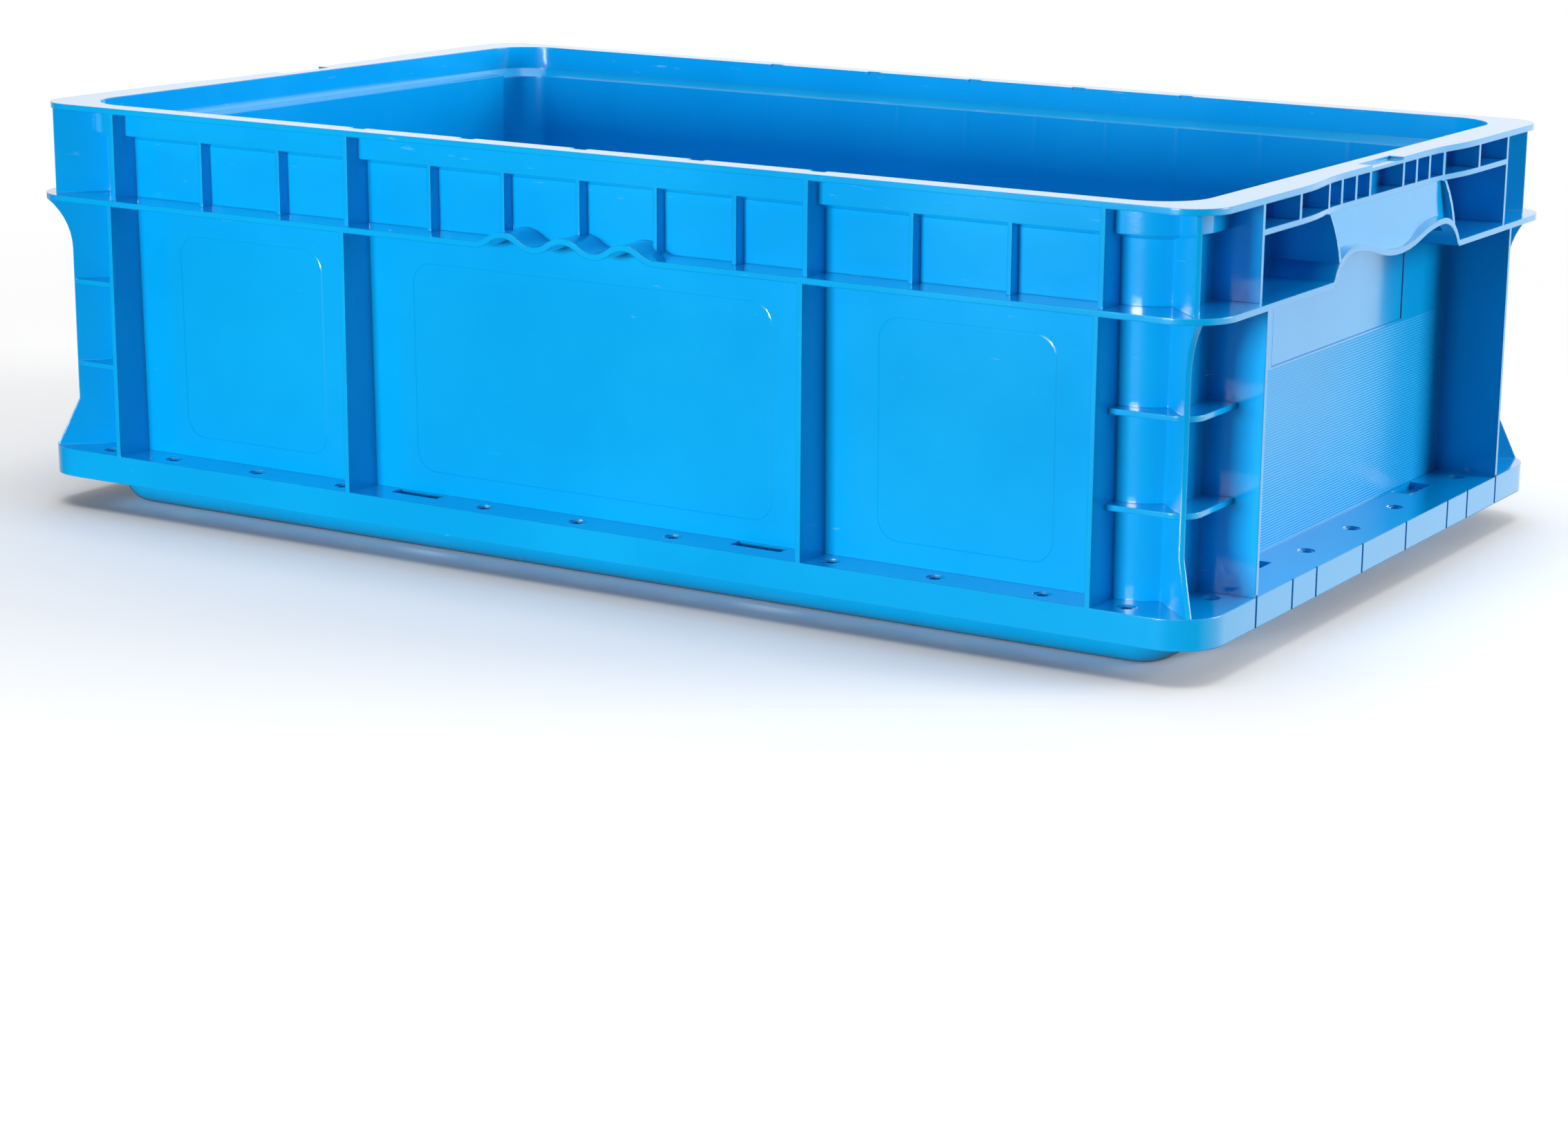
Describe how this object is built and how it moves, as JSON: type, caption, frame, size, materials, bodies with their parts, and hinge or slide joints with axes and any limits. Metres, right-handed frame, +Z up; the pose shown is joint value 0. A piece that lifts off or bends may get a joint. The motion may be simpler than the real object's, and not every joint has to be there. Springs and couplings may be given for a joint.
{
  "type": "straight wall container",
  "caption": "Ribbed open-top stacking container with straight walls, a flanged rim, a hollow base band, finger arches on the long sides and wavy-lipped handles on the ends.",
  "frame": {"origin": "middle of the underside of the foot, where the container stands on the floor", "axes": "+Z up through the open top, X along the long sides, Y across them; the handles are on the -X and +X ends"},
  "size_m": [0.6096, 0.378, 0.1905],
  "materials": {
    "shell": "light blue moulded polypropylene, semi-gloss"
  },
  "bodies": {
    "root": {"container": "shell"}
  },
  "joints": []
}
